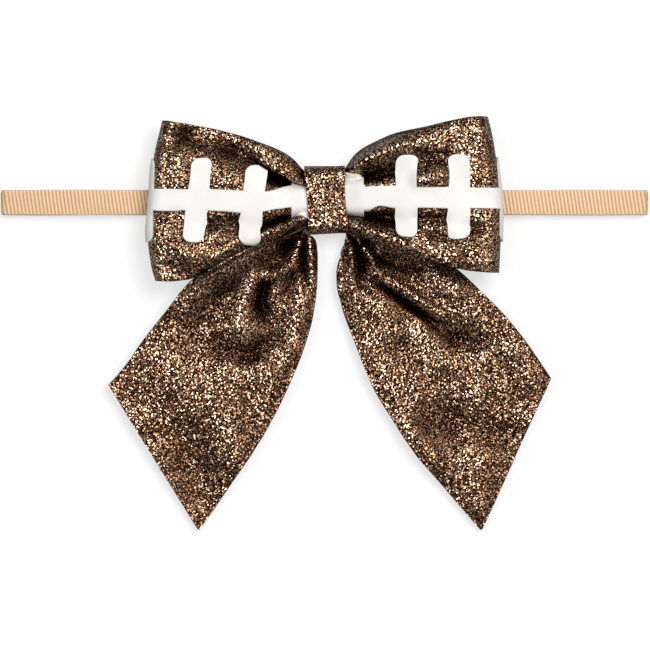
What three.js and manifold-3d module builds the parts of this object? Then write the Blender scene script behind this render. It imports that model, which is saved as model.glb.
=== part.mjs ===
// A sailor hair bow with laced loops on a stretch headband, lying on its back on a table.
// Millimetres. +X runs along the headband, +Y to the top of the bow, +Z up out of its front.
// Every soft piece is a ribbon: a centre line seen from the side, given a thickness and swept
// across its width between two edges.

import * as THREE from 'three';
import { mergeVertices } from 'three/addons/utils/BufferGeometryUtils.js';
import Module from 'manifold-3d';

const wasm = await Module();
wasm.setup();

// ---- Driving dimensions -------------------------------------------------------------------

const CLEAR = 0.3; // left between pieces that touch on the real bow
const SHEET = 0.8; // glitter sheet of the loops, tails and wrap
const LACE = 0.5; // white sheet of the laces
const GLUE = 0.3; // glue film in the lap of the wrap

const BAND = { length: 164.3, width: 6.35, thickness: 1.0 };
const SEAM = { x: 30, lap: 6, thread: 0.35, waves: 4 };

const WRAP = { width: 10.5, height: 17, corner: 1.5, lap: 9 };
const PINCH = { width: 6.4, tails: 2.0, loops: 3.5 };
const THREAD = { diameter: 0.5, turns: 3, pitch: 0.65 };

const LOOP = { reach: 44.6, rise: 8.1, neck: 1.8, tuck: 1.75 };
const LACING = { bar: 5.5, crossbar: 5.4, length: 21.3, pitch: 13.3, tucked: 8, tuckGap: 0.65 };
const TAIL = { drop: 76.9, neckRadius: 0.9, neckOut: 2.6, liftRoom: 3.2 };

const HINGE_MARGIN = 0.4; // room between a tail's neck and the loop edge beside it

// What differs between the two sides: the slope of the line that the tail hangs from, where the
// lacing starts and how high it lies, and the tail's two edges. All distances out are from the
// wrap's open mouth, and the tail's edges are [distance down from the pinch, distance out].
const SIDES = {
  left: {
    sign: -1,
    slope: 0.4,
    firstCrossbar: 0.45,
    laceHeight: -0.5,
    outer: [[0.2, 0.95], [4.0, 10.95], [9.5, 22.0], [12.0, 27.5], [19.5, 33.7], [29.7, 41.6],
      [39.3, 49.4], [60.2, 38.5], [76.9, 27.0]],
    inner: [[0.2, -3.25], [22.1, -2.35], [29.7, -0.25], [39.8, 3.75], [50.0, 8.85],
      [60.2, 15.15], [70.3, 21.55], [76.9, 26.2]],
  },
  right: {
    sign: 1,
    slope: 0.33,
    firstCrossbar: 2.35,
    laceHeight: 0.7,
    outer: [[0.5, 0.95], [4.9, 12.15], [8.5, 24.25], [11.9, 30.15], [22.1, 40.5], [29.7, 46.4],
      [37.8, 52.0], [55.1, 44.4], [76.9, 34.9]],
    inner: [[0.5, -1.85], [11.9, -1.95], [19.5, -1.05], [27.1, 1.75], [39.8, 6.85],
      [50.0, 12.95], [60.2, 19.75], [70.3, 27.85], [76.9, 34.1]],
  },
};

// ---- Levels, stacked up from the table ----------------------------------------------------

const LEVEL = {};
LEVEL.outerLap = BAND.thickness + CLEAR;
LEVEL.glue = LEVEL.outerLap + SHEET;
LEVEL.innerLap = LEVEL.glue + GLUE;
LEVEL.upperBand = LEVEL.innerLap + SHEET + CLEAR;
LEVEL.tailPinch = LEVEL.upperBand + BAND.thickness + CLEAR;
LEVEL.loopPinch = LEVEL.tailPinch + PINCH.tails + CLEAR;
LEVEL.wrapFront = LEVEL.loopPinch + PINCH.loops + CLEAR;
LEVEL.loopBack = LEVEL.tailPinch + LACE + CLEAR + SHEET / 2;

// ---- Shared helpers -----------------------------------------------------------------------

// Value at x on the broken line through [x, value] points.
function along(points, x) {
  const last = points.length - 1;
  const i = points.findIndex((point) => point[0] >= x);
  if (i === 0 || x <= points[0][0]) return points[0][1];
  if (i < 0) return points[last][1];
  const [[x0, v0], [x1, v1]] = [points[i - 1], points[i]];
  return THREE.MathUtils.mapLinear(x, x0, x1, v0, v1);
}

// Closed outline between two offsets from a centre line, square at both ends.
function ribbon(points, from, to) {
  const side = (offset) => points.map((point, i) => {
    const before = point.clone().sub(points[Math.max(i - 1, 0)]).normalize();
    const after = points[Math.min(i + 1, points.length - 1)].clone().sub(point).normalize();
    const run = before.add(after).normalize();
    return new THREE.Vector2(point.x - run.y * offset, point.y + run.x * offset);
  });
  return new THREE.Shape([...side(from), ...side(to).reverse()]);
}

// Sweeps a side view across a width. place(run, height, t) gives each point, t going from 0 to 1.
function sweep(shape, place) {
  const extruded = new THREE.ExtrudeGeometry(shape, {
    depth: 1, steps: 1, bevelEnabled: false, curveSegments: 3,
  });
  extruded.deleteAttribute('normal');
  extruded.deleteAttribute('uv');
  const geometry = mergeVertices(extruded);
  const position = geometry.attributes.position;
  for (let i = 0; i < position.count; i++) {
    position.setXYZ(i, ...place(position.getX(i), position.getY(i), position.getZ(i)));
  }
  return volume(geometry) < 0 ? turnedOut(geometry) : geometry;
}

function volume(geometry) {
  const corner = (i) => new THREE.Vector3().fromBufferAttribute(
    geometry.attributes.position, geometry.index.getX(i));
  let sum = 0;
  for (let i = 0; i < geometry.index.count; i += 3) {
    sum += corner(i).dot(corner(i + 1).cross(corner(i + 2))) / 6;
  }
  return sum;
}

function turnedOut(geometry) {
  const index = geometry.index;
  for (let i = 0; i < index.count; i += 3) {
    const second = index.getX(i + 1);
    index.setX(i + 1, index.getX(i + 2));
    index.setX(i + 2, second);
  }
  return geometry;
}

function solid(geometry) {
  const bare = geometry.clone();
  bare.deleteAttribute('normal');
  bare.deleteAttribute('uv');
  const merged = mergeVertices(bare);
  return new wasm.Manifold(new wasm.Mesh({
    numProp: 3,
    vertProperties: merged.attributes.position.array,
    triVerts: Uint32Array.from(merged.index.array),
  }));
}

function surface(manifold) {
  const mesh = manifold.getMesh();
  const geometry = new THREE.BufferGeometry();
  geometry.setAttribute('position', new THREE.BufferAttribute(mesh.vertProperties, 3));
  geometry.setIndex(new THREE.BufferAttribute(mesh.triVerts, 1));
  geometry.computeVertexNormals();
  return geometry;
}

function box(low, high) {
  const size = high.map((value, i) => value - low[i]);
  const centre = high.map((value, i) => (value + low[i]) / 2);
  return new THREE.BoxGeometry(...size).translate(...centre);
}

// Rectangle with rounded corners, as a path or a shape.
function rounded(outline, x0, x1, y0, y1, radius) {
  const turn = Math.PI / 2;
  outline.moveTo(x0 + radius, y0);
  outline.lineTo(x1 - radius, y0);
  outline.absarc(x1 - radius, y0 + radius, radius, -turn, 0);
  outline.lineTo(x1, y1 - radius);
  outline.absarc(x1 - radius, y1 - radius, radius, 0, turn);
  outline.lineTo(x0 + radius, y1);
  outline.absarc(x0 + radius, y1 - radius, radius, turn, 2 * turn);
  outline.lineTo(x0, y0 + radius);
  outline.absarc(x0 + radius, y0 + radius, radius, 2 * turn, 3 * turn);
  return outline;
}

// Round thread along a smooth curve.
function thread(points, diameter, steps) {
  const section = new THREE.Shape().absarc(0, 0, diameter / 2, 0, 2 * Math.PI);
  const extrudePath = new THREE.CatmullRomCurve3(points);
  return new THREE.ExtrudeGeometry(section, { extrudePath, steps, curveSegments: 3 });
}

const bow = new THREE.Group();

function piece(name, geometry, color, roughness) {
  const mesh = new THREE.Mesh(geometry, new THREE.MeshStandardMaterial({ color, roughness }));
  mesh.name = name;
  bow.add(mesh);
}

const GLITTER = 0x5f3f2a;
const WHITE = 0xf8f5f0;
const NUDE = 0xe4be95;

// ---- Headband -----------------------------------------------------------------------------

// One strip of stretch knit, folded flat into a ring, its ends lapped under the right loop.
function headband() {
  const low = BAND.thickness / 2;
  const high = LEVEL.upperBand + BAND.thickness / 2;
  const bend = (high - low) / 2;
  const end = (BAND.length - BAND.thickness) / 2 - bend;
  const lapped = low + BAND.thickness + CLEAR;
  const path = new THREE.Path();
  path.moveTo(SEAM.x + SEAM.lap / 2, low);
  path.lineTo(-end, low);
  path.absarc(-end, low + bend, bend, -Math.PI / 2, Math.PI / 2, true);
  path.lineTo(end, high);
  path.absarc(end, low + bend, bend, Math.PI / 2, -Math.PI / 2, true);
  path.lineTo(SEAM.x + SEAM.lap * 1.4, low);
  path.lineTo(SEAM.x + SEAM.lap * 0.8, lapped);
  path.lineTo(SEAM.x - SEAM.lap / 2, lapped);
  const side = ribbon(path.getPoints(5), -BAND.thickness / 2, BAND.thickness / 2);
  return sweep(side, (run, height, t) => [run, BAND.width * (t - 0.5), height]);
}

// Zigzag stitching on top of the lap.
function headbandStitching() {
  const height = 2 * (BAND.thickness + CLEAR) + SEAM.thread / 2;
  const reach = BAND.width / 2 - SEAM.thread;
  const points = [];
  const count = SEAM.waves * 8;
  for (let i = 0; i <= count; i++) {
    const x = SEAM.x + SEAM.lap * 0.7 * (i / count - 0.5);
    points.push(new THREE.Vector3(x, reach * Math.sin((i * Math.PI) / 4), height));
  }
  return thread(points, SEAM.thread, count);
}

piece('headband', headband(), NUDE, 0.9);
piece('headband_stitching', headbandStitching(), NUDE, 0.9);

// ---- Knot: pinched middles, binding thread, wrap and glue -----------------------------------

const mouth = WRAP.width / 2;
const wrapInside = WRAP.height / 2 - SHEET;
const pinchHalf = wrapInside - CLEAR;
const waist = THREAD.diameter + CLEAR;

// Strip round the pinch and the upper layer of the headband, its ends lapped at the back.
function centreWrap() {
  const wall = WRAP.height / 2 - SHEET / 2;
  const front = LEVEL.wrapFront + SHEET / 2;
  const inner = LEVEL.innerLap + SHEET / 2;
  const outer = LEVEL.outerLap + SHEET / 2;
  const corner = WRAP.corner - SHEET / 2;
  const quarter = Math.PI / 2;
  const path = new THREE.Path();
  path.moveTo(WRAP.lap / 2, inner);
  path.lineTo(corner - wall, inner);
  path.absarc(corner - wall, inner + corner, corner, -quarter, -2 * quarter, true);
  path.lineTo(-wall, front - corner);
  path.absarc(corner - wall, front - corner, corner, 2 * quarter, quarter, true);
  path.lineTo(wall - corner, front);
  path.absarc(wall - corner, front - corner, corner, quarter, 0, true);
  path.lineTo(wall, outer + corner);
  path.absarc(wall - corner, outer + corner, corner, 0, -quarter, true);
  path.lineTo(-WRAP.lap / 2, outer);
  const side = ribbon(path.getPoints(4), -SHEET / 2, SHEET / 2);
  return sweep(side, (run, height, t) => [WRAP.width * (t - 0.5), run, height]);
}

// Pinched middle of a sheet, with a waist where the binding thread lies. inset says how far the
// waist is cut in from below and from above.
function pinchedMiddle(low, high, inset) {
  const corner = WRAP.corner - SHEET - CLEAR;
  const block = (half, bottom, top, width) => {
    const shape = rounded(new THREE.Shape(), -half, half, bottom, top, corner);
    return sweep(shape, (run, height, t) => [width * (t - 0.5), run, height]);
  };
  const groove = THREAD.turns * THREAD.pitch + THREAD.diameter + 2 * CLEAR;
  const full = solid(block(pinchHalf, low, high, PINCH.width));
  const cut = solid(box([-groove / 2, -WRAP.height, low - 1], [groove / 2, WRAP.height, high + 1]));
  const narrow = solid(block(pinchHalf - waist, low + inset[0], high - inset[1], PINCH.width));
  return surface(full.subtract(cut).add(narrow));
}

// Binding thread wound round both pinched middles.
function gatherThread() {
  const radius = THREAD.diameter / 2;
  const half = pinchHalf - radius;
  const low = LEVEL.tailPinch + radius;
  const high = LEVEL.loopPinch + PINCH.loops - radius;
  const turn = rounded(new THREE.Path(), -half, half, low, high, WRAP.corner - SHEET + CLEAR);
  const steps = 28;
  const points = [];
  for (let i = 0; i <= THREAD.turns * steps; i++) {
    const { x: y, y: z } = turn.getPointAt((i % steps) / steps);
    points.push(new THREE.Vector3(THREAD.pitch * (i / steps - THREAD.turns / 2), y, z));
  }
  return thread(points, THREAD.diameter, THREAD.turns * steps);
}

function wrapGlue() {
  const half = WRAP.lap / 2 - 1;
  const shape = rounded(new THREE.Shape(), 1 - mouth, mouth - 1, -half, half, 1);
  return sweep(shape, (run, height, t) => [run, height, LEVEL.glue + GLUE * t]);
}

const tailPinchTop = LEVEL.tailPinch + PINCH.tails;
const loopPinchTop = LEVEL.loopPinch + PINCH.loops;

piece('centre_wrap', centreWrap(), GLITTER, 0.5);
piece('wrap_glue', wrapGlue(), 0xe9e4d4, 0.4);
piece('gather_thread', gatherThread(), 0x3a2a20, 0.8);
piece('tail_pinch', pinchedMiddle(LEVEL.tailPinch, tailPinchTop, [waist, 0]), GLITTER, 0.5);
piece('loop_pinch', pinchedMiddle(LEVEL.loopPinch, loopPinchTop, [0, waist]), GLITTER, 0.5);

// ---- Loops and their laces ------------------------------------------------------------------

const neckX = mouth - LOOP.tuck;
const clearOfMouth = mouth + CLEAR;

// Height across the bow of the line that a tail hangs from, at a distance out from the middle.
function hangLine(side, out) {
  return -(pinchHalf - TAIL.neckRadius) - side.slope * (out - mouth);
}

// Side view of a loop: out along the back, round the outer fold and in along the front.
function loopCentreLine() {
  const back = LEVEL.loopBack;
  const front = back + LOOP.rise;
  const neckTop = LEVEL.wrapFront - CLEAR - waist - SHEET / 2;
  const fold = LOOP.reach - SHEET / 2;
  const path = new THREE.Path();
  path.moveTo(neckX, neckTop - LOOP.neck);
  path.lineTo(clearOfMouth, neckTop - LOOP.neck);
  path.bezierCurveTo(neckX + 4, neckTop - LOOP.neck - 1, neckX + 8, back, neckX + 14, back);
  path.lineTo(fold - 8, back);
  path.bezierCurveTo(fold - 2, back, fold, back + 1, fold, back + LOOP.rise * 0.45);
  path.bezierCurveTo(fold, front - 1.5, fold - 3, front, fold - 9, front);
  path.bezierCurveTo(fold - 20, front, neckX + 8, neckTop + 2, clearOfMouth, neckTop);
  path.lineTo(neckX, neckTop);
  return path.getPoints(7);
}

function loop(side) {
  const top = [[neckX, -1.2], [clearOfMouth, -0.8], [mouth + 2.75, 2.4], [mouth + 5.75, 5.3],
    [mouth + 12.75, 8.6], [mouth + 24.75, 11.4], [LOOP.reach, 13.2]];
  const edge = TAIL.neckRadius + HINGE_MARGIN;
  const shape = ribbon(loopCentreLine(), -SHEET / 2, SHEET / 2);
  return sweep(shape, (run, height, t) => {
    const low = hangLine(side, run) + edge;
    const high = pinchHalf + along(top, run);
    return [side.sign * run, THREE.MathUtils.lerp(low, high, t), height];
  });
}

// Plan of the lacing: a bar along the loop crossed by round-ended crossbars.
function lacePattern(side) {
  const plan = (shape) => solid(sweep(shape, (x, y, t) => {
    return [side.sign * x, y + side.laceHeight, 30 * t];
  }));
  const bar = LACING.bar / 2;
  const start = mouth + LACING.tuckGap;
  const end = LOOP.reach + 2;
  const crossbar = (x0, x1, length) => {
    return plan(rounded(new THREE.Shape(), x0, x1, -length / 2, length / 2, 0.45 * (x1 - x0)));
  };
  const half = LACING.crossbar / 2;
  const first = mouth + side.firstCrossbar;
  let pattern = plan(rounded(new THREE.Shape(), start, end, -bar, bar, 0.1));
  pattern = pattern.add(crossbar(start, first + half, LACING.tucked));
  for (let x = first + LACING.pitch; x < LOOP.reach - 2 * half; x += LACING.pitch) {
    pattern = pattern.add(crossbar(x - half, x + half, LACING.length));
  }
  return pattern.add(crossbar(LOOP.reach - half, LOOP.reach + 2 * half, LACING.length));
}

// White lace glued to the outside of a loop, cut out of a shell that follows the loop.
function lace(side) {
  const inside = SHEET / 2 + CLEAR;
  const shell = ribbon(loopCentreLine(), -inside, -inside - LACE);
  const half = LACING.length / 2 + Math.abs(side.laceHeight) + 1;
  const geometry = sweep(shell, (run, height, t) => {
    return [side.sign * run, half * (2 * t - 1), height];
  });
  return surface(solid(geometry).intersect(lacePattern(side)));
}

for (const [name, side] of Object.entries(SIDES)) {
  piece(`${name}_loop`, loop(side), GLITTER, 0.5);
  piece(`${name}_lace`, lace(side), WHITE, 0.8);
}

// ---- Tails ----------------------------------------------------------------------------------

// Side view of a tail, from the knot down to the table.
function tailCentreLine() {
  const top = LEVEL.tailPinch + PINCH.tails / 2;
  const low = SHEET / 2;
  const path = new THREE.Path();
  const touch = 0.7 * TAIL.drop;
  path.moveTo(0.2, top);
  path.bezierCurveTo(0.23 * TAIL.drop, top, 0.5 * TAIL.drop, top / 2, touch, low + 0.8);
  path.bezierCurveTo(touch + 8, low + 0.2, TAIL.drop - 8, low, TAIL.drop, low);
  return path.getPoints(12);
}

// The neck is the root of the tail inside the wrap. It lies on the line that the tail hangs from.
function tailNeck(side) {
  const z = LEVEL.tailPinch + PINCH.tails / 2;
  const point = (out) => new THREE.Vector3(side.sign * out, hangLine(side, out), z);
  const start = point(neckX + 0.1);
  const end = point(mouth + TAIL.neckOut);
  const neck = new THREE.CylinderGeometry(TAIL.neckRadius, TAIL.neckRadius, start.distanceTo(end), 12);
  const turn = new THREE.Quaternion().setFromUnitVectors(
    new THREE.Vector3(0, 1, 0), end.clone().sub(start).normalize());
  const middle = start.clone().add(end).multiplyScalar(0.5);
  return solid(neck.applyQuaternion(turn).translate(middle.x, middle.y, middle.z));
}

function tail(side) {
  const shape = ribbon(tailCentreLine(), -SHEET / 2, SHEET / 2);
  const leaf = solid(sweep(shape, (run, height, t) => {
    const out = mouth + THREE.MathUtils.lerp(along(side.inner, run), along(side.outer, run), t);
    return [side.sign * out, -pinchHalf - run, height];
  }));
  const halfWide = mouth + CLEAR;
  const halfHigh = WRAP.height / 2 + TAIL.liftRoom;
  const room = solid(box([-halfWide, -halfHigh, -1], [halfWide, halfHigh, LEVEL.wrapFront]));
  return surface(leaf.subtract(room).add(tailNeck(side)));
}

for (const [name, side] of Object.entries(SIDES)) {
  piece(`${name}_tail`, tail(side), GLITTER, 0.5);
}

export default bow;
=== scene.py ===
"""A sailor hair bow with laced loops on a stretch headband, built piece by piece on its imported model."""
import math

import bpy
import numpy as np
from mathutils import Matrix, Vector


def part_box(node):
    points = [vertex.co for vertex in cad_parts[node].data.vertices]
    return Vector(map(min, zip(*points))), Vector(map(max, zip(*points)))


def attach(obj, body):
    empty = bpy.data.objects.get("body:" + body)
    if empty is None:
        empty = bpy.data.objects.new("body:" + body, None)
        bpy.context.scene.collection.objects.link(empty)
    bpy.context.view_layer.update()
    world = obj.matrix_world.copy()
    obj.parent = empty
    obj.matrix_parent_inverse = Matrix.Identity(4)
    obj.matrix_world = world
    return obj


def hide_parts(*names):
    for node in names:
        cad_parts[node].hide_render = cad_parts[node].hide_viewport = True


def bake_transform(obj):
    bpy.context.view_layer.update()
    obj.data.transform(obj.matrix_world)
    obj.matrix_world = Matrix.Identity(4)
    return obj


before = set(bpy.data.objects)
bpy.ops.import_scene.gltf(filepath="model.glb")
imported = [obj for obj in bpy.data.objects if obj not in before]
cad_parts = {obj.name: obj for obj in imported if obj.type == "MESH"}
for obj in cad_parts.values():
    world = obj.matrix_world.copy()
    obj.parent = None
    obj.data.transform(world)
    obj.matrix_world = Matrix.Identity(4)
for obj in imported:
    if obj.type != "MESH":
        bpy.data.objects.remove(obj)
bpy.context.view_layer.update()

MM = 0.001

# ---- Table, light and camera --------------------------------------------------------------------
# The bow lies on its back on a white table, lit softly from its upper right and seen from straight
# above through a long lens.

TABLE_SIZE = 6.0
FRAME_WIDTH = 165.1 * MM
CAMERA_HEIGHT = 1.2
CAMERA_AIM = (0.13 * MM, -31.75 * MM)
SENSOR = 36.0
ROOM_LIGHT = 0.30


def srgb(red, green, blue):
    """Linear colour, with alpha, of an eight-bit screen colour."""
    channels = [c / 255 for c in (red, green, blue)]
    linear = [c / 12.92 if c <= 0.04045 else ((c + 0.055) / 1.055) ** 2.4 for c in channels]
    return (*linear, 1.0)


class Wire:
    """A shader socket that takes part in arithmetic: each operator adds one Math node."""

    def __init__(self, socket):
        self.socket = socket

    def math(self, operation, *values):
        node = self.socket.id_data.nodes.new("ShaderNodeMath")
        node.operation = operation
        for slot, value in zip(node.inputs, values):
            plug(slot, value)
        return Wire(node.outputs[0])

    def __add__(self, other):
        return self.math("ADD", self, other)

    def __sub__(self, other):
        return self.math("SUBTRACT", self, other)

    def __rsub__(self, other):
        return self.math("SUBTRACT", other, self)

    def __mul__(self, other):
        return self.math("MULTIPLY", self, other)

    def __lt__(self, other):
        return self.math("LESS_THAN", self, other)

    def __gt__(self, other):
        return self.math("GREATER_THAN", self, other)

    __radd__ = __add__
    __rmul__ = __mul__


def plug(slot, value):
    """Links a wire to a socket, or sets the socket to a plain value."""
    if isinstance(value, Wire):
        slot.id_data.links.new(value.socket, slot)
    else:
        slot.default_value = value


class Finish:
    """A material: a Principled shader and the nodes that feed it."""

    def __init__(self, name, **constants):
        self.material = bpy.data.materials.new(name)
        self.material.use_nodes = True
        self.tree = self.material.node_tree
        self.shader = self.tree.nodes["Principled BSDF"]
        self.set(**constants)

    def set(self, **sockets):
        """Feeds the shader's sockets; underscores in a name stand for spaces."""
        for name, value in sockets.items():
            plug(self.shader.inputs[name.replace("_", " ")], value)

    def add(self, kind, settings=None, sockets=None, out=0):
        """Adds a node, applies its settings, fills its sockets and gives one of its outputs."""
        node = self.tree.nodes.new("ShaderNode" + kind)
        for key, value in (settings or {}).items():
            if key == "stops":
                while len(node.color_ramp.elements) < len(value):
                    node.color_ramp.elements.new(0.5)
                for element, (position, colour) in zip(node.color_ramp.elements, value):
                    element.position = position
                    element.color = colour
            else:
                setattr(node, key, value)
        for key, value in (sockets or {}).items():
            plug(node.inputs[key], value)
        return Wire(node.outputs[out])

    def mix(self, factor, first, second):
        """Colour between first and second."""
        return self.add("Mix", {"data_type": "RGBA"}, {0: factor, 6: first, 7: second}, 2)

    def smooth(self, value, low, high):
        """0 below low, 1 above high and smooth between."""
        return self.add("MapRange", {"interpolation_type": "SMOOTHSTEP"},
                        {"Value": value, "From Min": low, "From Max": high})


def table():
    """Plain white floor that glows a little towards the camera, so that it reads as white paper."""
    bpy.ops.mesh.primitive_plane_add(size=TABLE_SIZE, location=(0, 0, -0.03 * MM))
    floor = bpy.context.object
    floor.name = "table"
    finish = Finish("white_table", Roughness=0.9, Specular_IOR_Level=0.0)
    seen = finish.add("LightPath", out="Is Camera Ray")
    glow = finish.mix(seen, (0, 0, 0, 1), (0.64, 0.64, 0.64, 1))
    finish.set(Base_Color=(0.42, 0.42, 0.42, 1), Emission_Color=glow, Emission_Strength=1.0)
    floor.data.materials.append(finish.material)


def softbox(name, place, size, power):
    """Square area lamp that faces the middle of the bow."""
    lamp = bpy.data.lights.new(name, "AREA")
    lamp.size = size
    lamp.energy = power
    item = bpy.data.objects.new(name, lamp)
    item.location = place
    item.rotation_euler = Vector(place).to_track_quat("Z", "Y").to_euler()
    bpy.context.scene.collection.objects.link(item)


def studio():
    """Even grey surroundings that light the bow, and look white to the camera."""
    world = bpy.data.worlds.new("studio")
    world.use_nodes = True
    nodes = world.node_tree.nodes
    seen = Wire(nodes.new("ShaderNodeLightPath").outputs["Is Camera Ray"])
    nodes["Background"].inputs["Color"].default_value = (1, 1, 1, 1)
    plug(nodes["Background"].inputs["Strength"], seen * (1 - ROOM_LIGHT) + ROOM_LIGHT)
    bpy.context.scene.world = world


def camera():
    """Long lens straight above the bow, with its frame as wide as the folded headband."""
    data = bpy.data.cameras.new("camera")
    data.sensor_width = SENSOR
    data.lens = SENSOR * CAMERA_HEIGHT / FRAME_WIDTH
    data.clip_end = 20
    item = bpy.data.objects.new("camera", data)
    item.location = (*CAMERA_AIM, CAMERA_HEIGHT)
    bpy.context.scene.collection.objects.link(item)
    bpy.context.scene.camera = item


bpy.context.scene.view_settings.view_transform = "Standard"
table()
studio()
camera()
softbox("key", (0.24, 0.20, 0.80), 0.38, 4.5)
softbox("fill", (-0.35, 0.10, 0.85), 0.40, 1.4)

# ---- Headband -----------------------------------------------------------------------------------
# One strip of tubular ribbed nylon knit, folded flat into a ring. Its ends are lapped and
# zigzag-stitched in the lower layer, under the right loop.

BAND_LOW, BAND_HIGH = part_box("headband")
BAND_WIDTH = BAND_HIGH[1] - BAND_LOW[1]
BAND_THICK = 1.0 * MM
RIB_PITCH = 0.93 * MM
RIB_SLANT = 0.16
SEAM_X = 30 * MM
SEAM_LAP = 6 * MM
GAP = 0.3 * MM
BAND_OFFSET = -0.7 * MM


def new_piece(name, points, faces, uv, finishes, slots=None):
    """Mesh from vertices and quads, with its own UV map in metres and one material per face slot. Faces
    of slot 1, the cut edges, are flat, so that the sheet keeps a crisp rim."""
    mesh = bpy.data.meshes.new(name)
    mesh.vertices.add(len(points))
    mesh.vertices.foreach_set("co", np.asarray(points, np.float32).ravel())
    mesh.loops.add(faces.size)
    mesh.loops.foreach_set("vertex_index", faces.astype(np.int32).ravel())
    mesh.polygons.add(len(faces))
    mesh.polygons.foreach_set("loop_start", np.arange(0, faces.size, 4, dtype=np.int32))
    mesh.polygons.foreach_set("loop_total", np.full(len(faces), 4, np.int32))
    mesh.polygons.foreach_set("use_smooth", np.full(len(faces), True) if slots is None else slots != 1)
    for finish in finishes:
        mesh.materials.append(finish.material)
    if slots is not None:
        mesh.polygons.foreach_set("material_index", slots.astype(np.int32))
    layer = mesh.uv_layers.new(name="flat")
    layer.data.foreach_set("uv", np.asarray(uv, np.float32)[faces.ravel()].ravel())
    mesh.update(calc_edges=True)
    mesh.validate()
    item = bpy.data.objects.new(name, mesh)
    bpy.context.scene.collection.objects.link(item)
    return item


def quads(rows, columns, wrap=False):
    """Faces of a grid of rows x columns vertices; wrap joins the last column to the first."""
    row, column = np.meshgrid(np.arange(rows - 1), np.arange(columns if wrap else columns - 1),
                              indexing="ij")
    after = (column + 1) % columns
    corners = (row * columns + column, row * columns + after,
               (row + 1) * columns + after, (row + 1) * columns + column)
    return np.stack(corners, -1).reshape(-1, 4)


def unit(vectors):
    """The same directions with length 1."""
    return vectors / np.maximum(np.linalg.norm(vectors, axis=-1, keepdims=True), 1e-12)


def arc(centre, radius, start, end, steps=12):
    """Points round a centre from one angle to another, in turns of a circle."""
    angle = np.linspace(start, end, steps) * 2 * np.pi
    return np.stack([centre[0] + radius * np.cos(angle), centre[1] + radius * np.sin(angle)], 1)


def even_steps(points, count):
    """The same broken line with count points evenly spaced along it, and their distance along it."""
    distance = np.r_[0, np.cumsum(np.linalg.norm(np.diff(points, axis=0), axis=1))]
    steps = np.linspace(0, distance[-1], count)
    line = np.stack([np.interp(steps, distance, points[:, i]) for i in range(points.shape[1])], 1)
    return line, steps


def band_route():
    """Side view of the ring: lower layer, left fold, upper layer, right fold, lap."""
    low = BAND_LOW[2] + BAND_THICK / 2
    high = BAND_HIGH[2] - BAND_THICK / 2
    bend = (high - low) / 2
    left = BAND_LOW[0] + BAND_THICK / 2 + bend
    right = BAND_HIGH[0] - BAND_THICK / 2 - bend
    lapped = low + BAND_THICK + GAP
    return np.vstack([
        [(SEAM_X + SEAM_LAP / 2, low)],
        arc((left, low + bend), bend, 0.75, 0.25),
        arc((right, low + bend), bend, 0.25, -0.25),
        [(SEAM_X + SEAM_LAP * 1.4, low), (SEAM_X + SEAM_LAP * 0.8, lapped),
         (SEAM_X - SEAM_LAP / 2, lapped)],
    ])


def knit_band():
    """Flattened tube along the ring: a rounded section whose face swells and dips once per rib."""
    route, along = even_steps(band_route(), 2900)
    tangent = unit(np.gradient(route, axis=0))
    normal = np.stack([-tangent[:, 1], tangent[:, 0]], 1)
    angle = np.linspace(0, 2 * np.pi, 22, endpoint=False)
    across = np.sign(np.cos(angle)) * np.abs(np.cos(angle)) ** 0.55 * BAND_WIDTH / 2
    depth = np.sign(np.sin(angle)) * np.abs(np.sin(angle)) ** 0.7
    s, y = along[:, None], across[None, :]
    wander = 0.10 * np.sin(s / (7.3 * MM) + 900 * y) + 0.12 * np.sin(s / (2.9 * MM))
    rib = 0.5 + 0.5 * np.cos(2 * np.pi * (s / RIB_PITCH + RIB_SLANT * y / (1 * MM) + wander))
    swell = (BAND_THICK / 2 - 0.17 * MM * (1 - rib)) * depth[None, :]
    wavy = 1 + 0.012 * np.sin(s / (5.1 * MM)) + 0.01 * rib
    x = route[:, :1] + normal[:, :1] * swell
    z = route[:, 1:] + normal[:, 1:] * swell
    points = np.stack([x, y * wavy + BAND_OFFSET, z], -1)
    uv = np.stack([s + 0 * y, y + 0 * s], -1).reshape(-1, 2)
    rows, columns = x.shape
    ends = []
    for row in (0, rows - 1):
        ring = row * columns + np.arange(columns)
        half = columns // 2
        pairs = np.stack([ring[:half], ring[1:half + 1],
                          ring[(-1 - np.arange(half)) % columns], ring[(-np.arange(half)) % columns]], 1)
        ends.append(pairs if row == 0 else pairs[:, ::-1])
    faces = np.vstack([quads(rows, columns, wrap=True)[:, ::-1]] + ends)
    return points.reshape(-1, 3), faces, uv


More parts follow.
